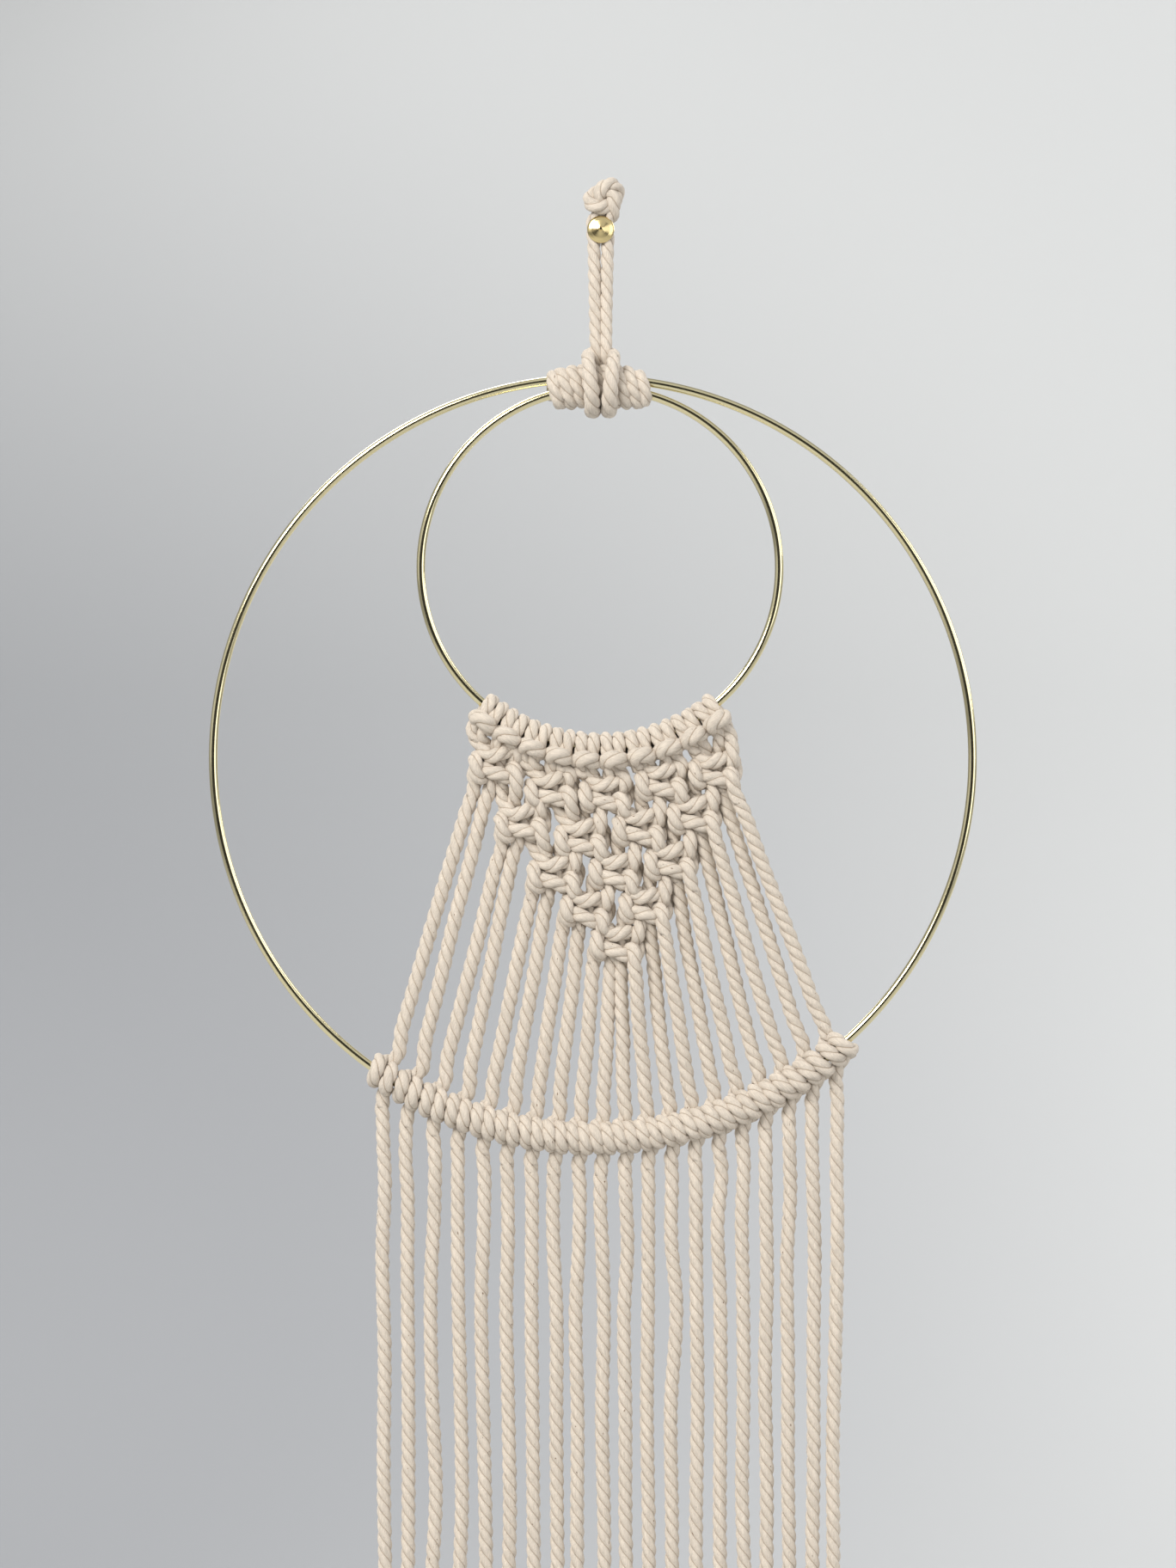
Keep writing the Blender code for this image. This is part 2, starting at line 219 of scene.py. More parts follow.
fraySet = {
    "fibres": 34,
    "rings": 6,               # along one fibre
    "length": 7.0 * mm,       # the longest fibre
    "shortest": 0.55,         # as a part of the longest
    "usual": 0.7,             # likewise
    "root": 1.2 * mm,         # how deep a fibre starts inside the cord
    "spread": 1.5 * mm,       # how far a tip drifts outwards
    "outwards": 0.9,          # the steady part of that drift
    "stray": 0.35,            # and its random part
    "thick": 0.42 * mm,
    "taper": 0.75,            # part of the thickness that is gone at the tip
    "within": 0.86,           # part of the cord's radius that holds fibres
    "crown": 0.8,             # its colour, between the painted crease shade and crown
}
goldenAngle = math.pi * (3 - math.sqrt(5))


def frayedEnd(end, along, side, back, radius, seed):
    # The cut end of a cord: a brush of tapering fibres, each a four-sided tube. Fibre k starts at k golden
    # angles round the cord's face, at radius * sqrt(k / count), and its tip drifts outwards by spread * t^2.
    count = fraySet["fibres"]
    k = np.arange(count)
    t = np.linspace(0.0, 1.0, fraySet["rings"])[None, :, None]
    out = radius * fraySet["within"] * np.sqrt((k + 0.5) / count)
    turn = k * goldenAngle + seed
    outwards = np.stack((np.cos(turn), np.sin(turn)), axis=1)
    own = np.random.default_rng(100 + seed)
    reach = fraySet["length"] * own.uniform(fraySet["shortest"], 1.0, count)
    drift = own.normal(0, fraySet["stray"], (count, 2)) + fraySet["outwards"] * outwards
    spread = fraySet["spread"] * (out / radius)[:, None, None]
    flat = (out[:, None] * outwards)[:, None, :] + spread * drift[:, None, :] * t ** 2
    deep = reach[:, None, None] * t - fraySet["root"]
    centre = end + flat[:, :, :1] * side + flat[:, :, 1:] * back + deep * along
    corner = np.arange(4) * np.pi / 2
    thick = fraySet["thick"] * (1 - fraySet["taper"] * t ** 2)
    ring = np.cos(corner)[:, None] * side + np.sin(corner)[:, None] * back
    skin = centre[:, :, None, :] + thick[:, :, :, None] * ring[None, None, :, :]
    crown = np.full(skin.shape[1:3], fraySet["crown"])
    yarn = np.stack(np.broadcast_arrays(flat[:, :, None, 0], flat[:, :, None, 1],
                                        np.zeros((1, 1, 4))), axis=3)
    return [(skin[i], crown, yarn[i]) for i in range(count)]


tightening = {
    "between": 0.9,      # mm between route points while a knot is drawn up
    "ownReach": 1.7,     # how near along itself, in reaches, a cord doesn't push on itself
    "push": 0.5,         # part of the lack that each of two cords makes up
    "ease": 0.22,        # how far a point moves towards the middle of its neighbours
}


def drawUp(cords, reach, rounds):
    # Tightens a knot. Wherever two centrelines are nearer than `reach` both are pushed apart by half the
    # lack, and each cord is then eased towards the middle of its neighbours. Ends stay put.
    sizes = [len(cord) for cord in cords]
    points = np.concatenate(cords)
    owner = np.repeat(np.arange(len(cords)), sizes)
    order = np.concatenate([np.arange(size) for size in sizes])
    spacing = np.linalg.norm(cords[0][1] - cords[0][0])
    alongCord = np.abs(order[:, None] - order[None, :]) * spacing
    near = (owner[:, None] == owner[None, :]) & (alongCord < tightening["ownReach"] * reach)
    ends = (order == 0) | (order == np.array(sizes)[owner] - 1)
    inner = np.where(~ends)[0]
    for _ in range(rounds):
        apart = points[:, None, :] - points[None, :, :]
        distance = np.linalg.norm(apart, axis=2) + 1e-9
        lack = np.where(near, 0.0, np.clip(reach - distance, 0.0, None))
        push = (apart / distance[:, :, None] * lack[:, :, None]).sum(axis=1)
        push *= tightening["push"] / np.maximum((lack > 0).sum(axis=1), 1)[:, None] ** 0.5
        moved = points + push
        moved[inner] += tightening["ease"] * (points[inner - 1] + points[inner + 1] - 2 * points[inner])
        points[inner] = moved[inner]
    return np.split(points, np.cumsum(sizes)[:-1])


# ---- knots, in mm: x across, y from front to back, z up
squareKnot = {
    "left": [(-6.0, 0.8, 7.8), (-5.8, -0.4, 5.4), (-5.0, -2.8, 2.6), (-2.6, -4.9, 2.0), (1.6, -5.2, 3.7),
             (5.0, -4.0, 5.4), (6.9, -0.6, 5.6), (7.6, 1.4, 2.4), (7.0, -0.8, -1.2), (4.6, -4.2, -3.1),
             (0.5, -5.2, -3.4), (-4.0, -4.0, -3.4), (-6.2, -0.8, -4.2), (-6.6, 0.6, -6.4),
             (-6.0, 0.8, -8.0)],
    "leftFill": [(-2.4, 0.2, 8.0), (-2.3, 0.0, 4.0), (-2.2, 0.0, 0.0), (-2.3, 0.0, -4.0), (-2.4, 0.2, -8.0)],
    "rightFill": [(2.4, -0.2, 8.0), (2.3, 0.0, 4.0), (2.2, 0.0, 0.0), (2.3, 0.0, -4.0), (2.4, -0.2, -8.0)],
    "right": [(6.0, -0.6, 7.9), (6.6, -2.4, 7.0), (7.2, -3.4, 4.6), (6.6, -1.0, 1.4), (4.6, 3.2, 1.0),
              (0.5, 4.9, 1.6), (-4.0, 4.2, 2.6), (-6.2, 0.6, 4.4), (-7.0, -3.4, 3.4), (-7.2, -4.8, 0.2),
              (-7.0, -4.2, -3.2), (-6.4, -0.4, -5.4), (-4.2, 4.0, -5.2), (0.5, 4.9, -4.4), (4.6, 3.6, -3.0),
              (6.0, 0.4, -1.2), (6.6, -3.7, -2.8), (6.9, -3.0, -5.6), (6.2, -0.6, -8.0)],
}
larksHead = [(-2.0, -2.4, -9.8), (-2.0, -3.2, -6.2), (-2.2, -3.8, -2.0), (-2.4, -3.2, 1.4), (-2.5, 0.0, 3.3),
             (-2.6, 3.0, 1.8), (-2.8, 3.6, -1.0), (-3.2, 2.8, -4.0), (-3.4, -0.4, -5.7), (-3.3, -4.0, -5.9),
             (-2.3, -6.4, -5.4), (-1.0, -7.5, -5.1), (0.0, -7.7, -5.0)]
larksWidths = [1.0, 1.0, 0.98, 0.95, 0.94, 0.95, 0.96, 1.0, 1.08, 1.16, 1.2, 1.2, 1.2]


hitchFacts = {"turns": 1.5, "round": 3.95, "lift": 0.5, "above": [(0.1, 2.0, 6.4), (-1.5, 2.4, 4.7)]}
underHitch = [(1.4, 1.7, -5.2), (0.4, 2.3, -7.6)]


def halfHitches(width):
    # Turns round the hoop as a helix, entered over the top from behind and left under the back:
    # (x, y, z) = (width / 2 (turns - 0.75), -r sin(angle), r cos(angle)), the first turn a little higher.
    turns = np.linspace(0.04, hitchFacts["turns"], 19)
    angle = 2 * np.pi * turns
    middle = hitchFacts["turns"] / 2
    across = width / 2 * (turns - middle)
    lift = -hitchFacts["lift"] * np.tanh(6 * (turns - middle)) * np.clip(np.sin(angle), 0, 1)
    r = hitchFacts["round"]
    helix = np.stack((across, -r * np.sin(angle), r * np.cos(angle) + lift), axis=1)
    return np.concatenate((hitchFacts["above"], helix))


def knotRoutes():
    # The four cords of the square knot, drawn up together, without their ends and with every other point.
    names = list(squareKnot)
    cords = [smoothPath(squareKnot[name], tightening["between"])[0] for name in names]
    cords = drawUp(cords, reach=4.3, rounds=40)
    return {name: cord[1:-1:2] for name, cord in zip(names, cords)}


def larksRoute():
    # The left half and its mirror image, joined at the middle of the bar in front.
    half = np.array(larksHead)
    return np.concatenate((half, (half * (-1, 1, 1))[-2::-1]))


tiedKnot = knotRoutes()
tiedLarks = larksRoute()
print("knots drawn up")


# ---- where everything goes, read from the frame
def middle(node):
    # The middle of a node's box.
    low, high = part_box(node)
    return (np.array(low) + np.array(high)) / 2


def hoopFacts(node):
    # A ring's centre and its two radii from its box: the wire's is half the depth.
    low, high = (np.array(corner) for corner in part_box(node))
    wire = (high[1] - low[1]) / 2
    return {"centre": (low + high) / 2, "wire": wire, "radius": (high[0] - low[0]) / 2 - wire}


largeHoop = hoopFacts("large_hoop")
smallHoop = hoopFacts("small_hoop")
larksStep = 8.2            # degrees of the small hoop for each lark's head
hinge = {joint["child"]: np.array(joint["pos_m"]) for joint in frame["joints"] if "pos_m" in joint}


def onHoop(hoop, degrees, points):
    # Points given in mm across, behind and above the hoop's lowest place, turned to another angle.
    points = np.asarray(points) * mm
    a = math.radians(degrees)
    across = np.array((math.cos(a), 0.0, math.sin(a)))
    up = np.array((-math.sin(a), 0.0, math.cos(a)))
    centre = hoop["centre"] - hoop["radius"] * up
    return centre + points[:, :1] * across + points[:, 1:2] * (0, 1, 0) + points[:, 2:] * up


def hitchAngle(end):
    # Degrees from the large hoop's lowest place to the hinge of one fringe end, atan2(x, -z).
    x, _, z = hinge[f"strand_{end:02d}"] - largeHoop["centre"]
    return math.degrees(math.atan2(x, -z))


def hitchWidth(end):
    # Mean distance along the hoop, in mm, to the hitches on either side.
    before, after = hitchAngle(max(end - 1, 1)), hitchAngle(min(end + 1, 20))
    span = 2 if 1 < end < 20 else 1
    return math.radians(after - before) / span * largeHoop["radius"] / mm


# ---- working cords: each runs from one fringe end up to its lark's head and down to the next fringe end
knotFacts = {
    "narrow": 0.90,      # width, as a part of the drawn-up knot's
    "cord": 1.03,        # cord's width in the knots, as a part of its diameter
    "fanCord": 1.04,     # the same in the fan and the hitches
    "turn": 4.0,         # degrees by which a knot is usually turned
    "size": 0.03,        # part by which its size usually differs
    "insideFill": 4.6,   # mm above and below the middle where the two inner cords count as the knot's
    "inside": 6.8,       # the same for the two outer cords
}
fringeFacts = {
    "length": 300 * mm,
    "wave": 0.55 * mm,                # how far a cord usually strays to the side
    "behind": 1.6 * mm,               # how far back it starts, behind the hinge
    "bend": (8 * mm, 45 * mm),        # two depths below the hinge
}
# mm to the right that each end has moved at its foot
fringeSway = [2.8, -0.4, 0.4, 0.8, 1.7, -0.5, 1.2, 1.2, 0.3, 0.5,
              0.8, 0.4, -0.3, 0.6, 0.4, 0.3, -0.7, -1.8, -0.8, -2.2]
knotCount = [5, 4, 3, 2, 1]


def knotsOf(end):
    # The knots that one cord end passes through, top to bottom, each with the end's place in it.
    found = []
    for row, count in enumerate(knotCount, start=1):
        for column in range(1, count + 1):
            place = end - (4 * column - 3 + 2 * (row - 1))
            if 0 <= place <= 3:
                found.append((f"square_knot_r{row}c{column}", list(squareKnot)[place]))
    return found


def knotTurns():
    # Each knot a little different: its own size and its own small turn about the y axis.
    turns = {}
    for row, count in enumerate(knotCount, start=1):
        for column in range(1, count + 1):
            a = math.radians(random.normal(0, knotFacts["turn"]))
            size = 1 + random.normal(0, knotFacts["size"])
            across = knotFacts["narrow"] * size
            turns[f"square_knot_r{row}c{column}"] = np.array((
                (across * math.cos(a), 0, across * math.sin(a)),
                (0, 1, 0),
                (-size * math.sin(a), 0, size * math.cos(a))))
    return turns


knotTurn = knotTurns()


def fringeRoute(end):
    # Straight down from the hinge by the CAD node's height, less the usual fray, a little wavy, with a sway
    # that grows towards the foot.
    low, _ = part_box(f"fringe_strand_{end:02d}")
    top = hinge[f"strand_{end:02d}"]
    down = top[2] - low[2] - fraySet["length"] * fraySet["usual"]
    parts = np.array((0.07, 0.14, 0.22, 0.36, 0.5, 0.64, 0.78, 0.9, 1.0))
    drift = fringeSway[end - 1] * mm * np.interp(parts, (0.0, 0.3, 0.6, 1.0), (0.05, 0.1, 0.5, 1.0))
    wave = random.normal(0, fringeFacts["wave"], (len(parts), 2))
    wave[-1] = 0
    x = top[0] + drift + wave[:, 0]
    y = top[1] + fringeFacts["behind"] * (1 - parts) + wave[:, 1]
    return np.stack((x, y, top[2] - down * parts), axis=1)


def endRoute(end):
    # Route points of one cord end below its lark's head, each with the piece it belongs to: its knots, a
    # straight run across the fan, its hitches on the large hoop, and its fringe.
    points, owners = [], []

    def add(more, owner):
        points.append(np.asarray(more))
        owners.extend([owner] * len(more))

    for node, part in knotsOf(end):
        route = tiedKnot[part]
        inside = np.abs(route[:, 2]) < knotFacts["insideFill" if "Fill" in part else "inside"]
        route = route[np.argmax(inside):len(route) - np.argmax(inside[::-1])]
        add(middle(node) + route @ knotTurn[node] * mm, node)
    fan = f"fan_cord_{(end + 1) // 2:02d}"
    hitch = onHoop(largeHoop, hitchAngle(end), halfHitches(hitchWidth(end)))
    under = onHoop(largeHoop, hitchAngle(end), [(0, 0, 0)]) + np.array(underHitch) * mm
    start = points[-1][-1]
    parts = np.array((0.12, 0.3, 0.5, 0.7, 0.88))[:, None]
    straight = start + (hitch[0] - start) * parts
    straight[:, 0] += random.normal(0, 0.15 * mm, len(parts))
    add(straight, fan)
    add(hitch, fan)
    add(under, fan)
    add(fringeRoute(end), f"fringe_strand_{end:02d}")
    return np.concatenate(points), owners


def workingCord(number):
    # The whole cord, doubled over the small hoop, as one route with the piece each point belongs to and the
    # cord's width there.
    left, leftOwners = endRoute(2 * number - 1)
    right, rightOwners = endRoute(2 * number)
    head = onHoop(smallHoop, (number - 5.5) * larksStep, tiedLarks)
    owners = leftOwners[::-1] + [f"larks_head_pair_{(number + 1) // 2}"] * len(head) + rightOwners
    widths = np.array([knotFacts["cord"] if "knot" in owner else 1.0 for owner in owners])
    widths[[owner.startswith("fan") for owner in owners]] = knotFacts["fanCord"]
    widths[len(left):len(left) + len(head)] = larksWidths + larksWidths[-2::-1]
    return np.concatenate((left[::-1], head, right)), owners, widths


def cutIntoPieces(route, owners, diameter, seed, widths=None):
    # Sweeps one cord and shares its rings out to the pieces, cut half way between two pieces' route points.
    # `widths` are the cord's width at the route points, as parts of its diameter.
    path, at, place = smoothPath(route, cordFacts["step"])
    run = np.concatenate(([0.0], np.cumsum(np.linalg.norm(np.diff(path, axis=0), axis=1))))
    sides = steadySides(path)
    between = (place[:-1] + place[1:]) / 2
    owner = np.array(owners)[np.searchsorted(between, at)]
    cuts = [0] + [i for i in range(1, len(owner)) if owner[i] != owner[i - 1]] + [len(owner) - 1]
    width = np.ones(len(path)) if widths is None else np.interp(at, place, widths)
    for a, b in zip(cuts, cuts[1:]):
        part = slice(a, b + 1)
        sidesHere = [vectors[part] for vectors in sides]
        yield owner[a], cordSkin(path[part], sidesHere, run[part], width[part], diameter, seed), path[part]


tubes, paths = {}, {}
for number in range(1, 11):
    route, owners, widths = workingCord(number)
    for name, tube, path in cutIntoPieces(route, owners, cordFacts["diameter"], number, widths):
        tubes.setdefault(name, []).append(tube)
        paths.setdefault(name, []).append(path)
print("working cords swept:", len(tubes), "pieces")


# ---- cotton
cottonFacts = {
    "cream": (0.70, 0.615, 0.515, 1),
    # painted shade in the creases between the strands, a brown
    "crease": (0.41, 0.315, 0.225, 1),
    "fleck": (0.20, 0.13, 0.08, 1),
    "wholeCream": 0.24,       # how far up from the painted crease shade to the crown the cream starts
    "yarns": (2900, 90),      # per metre, across and along the cord, and so on below
    "fibres": (4600, 260),
    "clumps": (700, 60),
    "flecks": (900, 420),
    "yarnDepth": 0.08 * mm,
    "fibreDepth": 0.15 * mm,
}


def makeCotton(name):
    # Cream on the strands' crowns, with painted shade in brown in the creases between them. Yarns are long
    # cells that run with the cord, lower along their edges and darker there by painted shade, and finer
    # fibres lie over them. Clumps are broad patches of tone, and flecks are bits of seed husk.
    material = bpy.data.materials.new(name)
    material.use_nodes = True
    nodes, links = material.node_tree.nodes, material.node_tree.links
    shader = nodes["Principled BSDF"]
    shader.inputs["Roughness"].default_value = 0.95
    shader.inputs["Sheen Weight"].default_value = 0.12
    shader.inputs["Sheen Roughness"].default_value = 0.6
    shader.inputs["Specular IOR Level"].default_value = 0.12

    def attribute(label):
        node = nodes.new("ShaderNodeAttribute")
        node.attribute_name = label
        return node

    def stretched(label):
        across, along = cottonFacts[label]
        node = nodes.new("ShaderNodeMapping")
        node.inputs["Scale"].default_value = (across, across, along)
        links.new(place.outputs["Vector"], node.inputs["Vector"])
        return node.outputs["Vector"]

    def remap(source, low, high, bottom, top):
        node = nodes.new("ShaderNodeMapRange")
        for label, value in (("From Min", low), ("From Max", high), ("To Min", bottom), ("To Max", top)):
            node.inputs[label].default_value = value
        links.new(source, node.inputs["Value"])
        return node.outputs["Result"]

    def noise(vector, detail):
        node = nodes.new("ShaderNodeTexNoise")
        node.inputs["Scale"].default_value = 1.0
        node.inputs["Detail"].default_value = detail
        links.new(vector, node.inputs["Vector"])
        return node.outputs["Fac"]

    def product(a, b):
        node = nodes.new("ShaderNodeMath")
        node.operation = "MULTIPLY"
        links.new(a, node.inputs[0])
        links.new(b, node.inputs[1])
        return node.outputs[0]

    crown, place = attribute("crown"), attribute("yarn")
    # Painted shade: brown where the crown attribute is low, in the creases, rising to cream on the crowns.
    ramp = nodes.new("ShaderNodeValToRGB")
    ramp.color_ramp.elements[0].color = cottonFacts["crease"]
    ramp.color_ramp.elements[1].position = cottonFacts["wholeCream"]
    ramp.color_ramp.elements[1].color = cottonFacts["cream"]
    links.new(crown.outputs["Fac"], ramp.inputs["Fac"])

    cells = nodes.new("ShaderNodeTexVoronoi")
    cells.feature = "DISTANCE_TO_EDGE"
    cells.inputs["Scale"].default_value = 1.0
    links.new(stretched("yarns"), cells.inputs["Vector"])
    yarns = remap(cells.outputs["Distance"], 0.0, 0.16, 0.0, 1.0)
    fibres = noise(stretched("fibres"), 3.0)
    clumps = noise(stretched("clumps"), 2.0)
    # Painted shade: the colour is a little darker along the yarns' edges, in the grooves between them.
    tone = product(remap(yarns, 0.0, 1.0, 0.91, 1.02), remap(fibres, 0.3, 0.7, 0.84, 1.07))
    tone = product(tone, remap(clumps, 0.3, 0.7, 0.92, 1.04))
    shade = nodes.new("ShaderNodeMix")
    shade.data_type = "RGBA"
    shade.blend_type = "MULTIPLY"
    shade.inputs["Factor"].default_value = 1.0
    links.new(ramp.outputs["Color"], shade.inputs["A"])
    links.new(tone, shade.inputs["B"])
    flecked = nodes.new("ShaderNodeMix")
    flecked.data_type = "RGBA"
    flecks = remap(noise(stretched("flecks"), 1.0), 0.76, 0.80, 0.0, 1.0)
    links.new(flecks, flecked.inputs["Factor"])
    links.new(shade.outputs["Result"], flecked.inputs["A"])
    flecked.inputs["B"].default_value = cottonFacts["fleck"]
    links.new(flecked.outputs["Result"], shader.inputs["Base Color"])

    lastNormal = None
    for height, depth in ((yarns, cottonFacts["yarnDepth"]), (fibres, cottonFacts["fibreDepth"])):
        bump = nodes.new("ShaderNodeBump")
        bump.inputs["Strength"].default_value = 0.9
        bump.inputs["Distance"].default_value = depth
        links.new(height, bump.inputs["Height"])
        if lastNormal:
            links.new(lastNormal, bump.inputs["Normal"])
        lastNormal = bump.outputs["Normal"]
    links.new(lastNormal, shader.inputs["Normal"])
    return material


cotton = makeCotton("cotton")


def cottonPiece(name, tubes):
    piece = meshFromTubes(name, tubes)
    piece.data.materials.append(cotton)
    return piece


def frayOf(end, path):
    # The brush at the foot of one fringe end, set square to the end of its path.
    along = path[-1] - path[-3]
    along /= np.linalg.norm(along)
    side = np.cross(along, (0, 1, 0))
    side /= np.linalg.norm(side)
    brush = frayedEnd(path[-1], along, side, np.cross(along, side), cordFacts["diameter"] / 2, end)
    fray = cottonPiece(f"frayed_end_{end:02d}", brush)
    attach(fray, f"strand_{end:02d}")
    return fray


def placeFringe(name):
    # A fringe end: its frayed brush rides on its own body, and its rope is baked in place where it hangs,
    # with its path given from the hitch down.
    end, path = int(name[-2:]), paths[name][0]
    if path[0][2] < path[-1][2]:
        path = path[::-1]
    fray = frayOf(end, path)
    piece = cottonPiece("rope_" + name, tubes[name])
    body = f"strand_{end:02d}"
    bendTop, bendFoot = (tuple(hinge[body] - (0, 0, drop)) for drop in fringeFacts["bend"])
    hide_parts(name)
    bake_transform(piece)
    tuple(bendTop)
    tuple(bendFoot)
    tuple(path[0])


def placeTied(name):
    piece = cottonPiece("rope_" + name, tubes[name])
    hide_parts(name)
    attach(piece, "hoops")


for name in sorted(tubes):
    if name.startswith("fringe"):
        placeFringe(name)
    else:
        placeTied(name)
print("cords placed")


def sweptWhole(name, route, diameter, seed, widths=None):
    # One cord that is a single piece from end to end.
    pieces = cutIntoPieces(route, [name] * len(route), diameter, seed, widths)
    return cottonPiece(name, [tube for _, tube, _ in pieces])


# ---- wrap round both hoops
wrapFacts = {
    "cord": 5.1 * mm,
    "pitch": 4.35 * mm,
    "first": -0.35,             # the turn at which the cord starts, ends and has its middle
    "last": 8.45,
    "middle": 4.25,
    "outermost": 4.1,           # pitches from the middle to the outermost turns
    "leftEnd": 0.12,            # how far the oval draws in at each end, as a part of its size
    "rightEnd": 0.22,
    "leftTurns": 1.6,           # over how many turns it draws in
    "rightTurns": 2.2,
    "sagRadius": 100.0 * mm,
    "seed": 21,
}


def makeWrap():
    # A helix round an upright oval that moves on by one pitch in front and not at all behind,
    # x = pitch (turns - middle - cos(angle) / 4), but no further out than its outermost turns. It starts and
    # ends behind, draws in over its outer turns and sags with the two hoops by x^2 / (2 R).
    low, high = (np.array(corner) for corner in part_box("ring_wrap"))
    centre = (low + high) / 2
    first, last, cord = wrapFacts["first"], wrapFacts["last"], wrapFacts["cord"]
    turns = np.linspace(first, last, int((last - first) * 16))
    angle = 2 * np.pi * turns
    atLeft = np.clip(1 - turns / wrapFacts["leftTurns"], 0, 1) ** 1.5
    atRight = np.clip((turns - last) / wrapFacts["rightTurns"] + 1, 0, 1) ** 1.5
    shrink = 1 - wrapFacts["leftEnd"] * atLeft - wrapFacts["rightEnd"] * atRight
    x = turns - wrapFacts["middle"] - np.cos(angle) / 4
    x = wrapFacts["pitch"] * np.clip(x, -wrapFacts["outermost"], wrapFacts["outermost"])
    reachY = (high[1] - low[1] - cord) / 2
    reachZ = (high[2] - low[2] - cord) / 2
    sag = x ** 2 / (2 * wrapFacts["sagRadius"])
    y = -reachY * shrink * np.sin(angle)
    z = reachZ * shrink * np.cos(angle) - sag
    piece = sweptWhole("rope_ring_wrap", centre + np.stack((x, y, z), axis=1), cord, wrapFacts["seed"])
    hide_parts("ring_wrap")
    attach(piece, "hoops")


makeWrap()


# ---- hanging loop: overhand knot, two legs over the tack, cow hitch round the wrap
loopFacts = {
    "cord": 5.0 * mm,
    "knotScale": 1.5,                    # mm for one unit of the trefoil
    "knotDepth": 2.1,                    # mm
    "knotTurn": 30,                      # degrees
    "knotCentre": (2.0, -3.9, 11.9),     # mm, like the routes below
    "open": 0.42,                        # half the angle left open at the lowest lobe
    "widthBelow": (0, 6, 50, 66),        # mm below the tack, and the cord's widths there
    "widths": (1.06, 0.96, 0.94, 1.2),
    "seed": 31,
}
toRight = (4.8, -4.2, 6.6)               # where the knot's two ends pass on their way to the legs
toLeft = (-1.0, -2.6, 6.4)
legRoute = [(-2.8, -2.75, 3.6), (-2.75, -2.75, -3.0), (-2.6, -3.2, -10.0), (-2.4, -4.6, -20.0),
            (-2.15, -6.4, -32.0), (-2.0, -8.4, -42.0)]
cowHitchRoute = [(-1.9, -10.2, -48.0), (-1.9, -10.2, -51.6), (-2.2, -6.8, -55.4), (-2.4, -3.6, -59.4),
                 (-2.6, -3.2, -64.4), (-2.9, -4.8, -69.2), (-3.1, -8.6, -71.2), (-3.2, -13.5, -71.6),
                 (-3.3, -18.4, -70.2), (-3.5, -21.4, -66.2), (-4.0, -22.3, -61.0), (-4.6, -21.0, -55.8),
                 (-5.0, -17.6, -52.2), (-5.0, -13.0, -50.4), (-4.6, -8.8, -49.6), (-2.6, -5.6, -48.4),
                 (0.0, -4.9, -48.2)]


def makeHangingLoop():
    # The knot is a trefoil, (sin t + 2 sin 2t, sin 3t, cos t - 2 cos 2t), turned a little about the y axis
    # and opened at its lowest lobe. The cord starts and ends behind the legs, where the bight crosses.
    t = np.linspace(math.pi + loopFacts["open"], 3 * math.pi - loopFacts["open"], 60)
    a = math.radians(loopFacts["knotTurn"])
    across, up = np.sin(t) + 2 * np.sin(2 * t), np.cos(t) - 2 * np.cos(2 * t)
    x = loopFacts["knotScale"] * (across * math.cos(a) - up * math.sin(a))
    y = loopFacts["knotDepth"] * np.sin(3 * t)
    z = loopFacts["knotScale"] * (across * math.sin(a) + up * math.cos(a))
    knot = smoothPath(np.stack((x, y, z), axis=1) + loopFacts["knotCentre"], tightening["between"])[0]
    tied = drawUp([knot], reach=4.2, rounds=50)[0][::2]
    left = np.array(legRoute + cowHitchRoute)
    right = (left * (-1, 1, 1))[::-1]
    route = np.concatenate((right, [toRight], tied, [toLeft], left))
    widths = np.interp(-route[:, 2], loopFacts["widthBelow"], loopFacts["widths"])
    piece = sweptWhole("rope_hanging_loop", route * mm, loopFacts["cord"], loopFacts["seed"], widths)
    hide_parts("hanging_loop", "loop_knot", "cow_hitch")
    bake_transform(piece)


makeHangingLoop()
print("wrap and hanging loop made")


# ---- brass
brassFacts = {
    "hoop": (0.77, 0.69, 0.43, 1),
    "tack": (0.76, 0.61, 0.31, 1),
    "smoothest": 0.07,      # roughness, where polished and where dull
    "dullest": 0.20,
    "patches": 60.0,        # per metre
    "lathe": 0.8,           # how strongly turned grooves stretch the shine
}


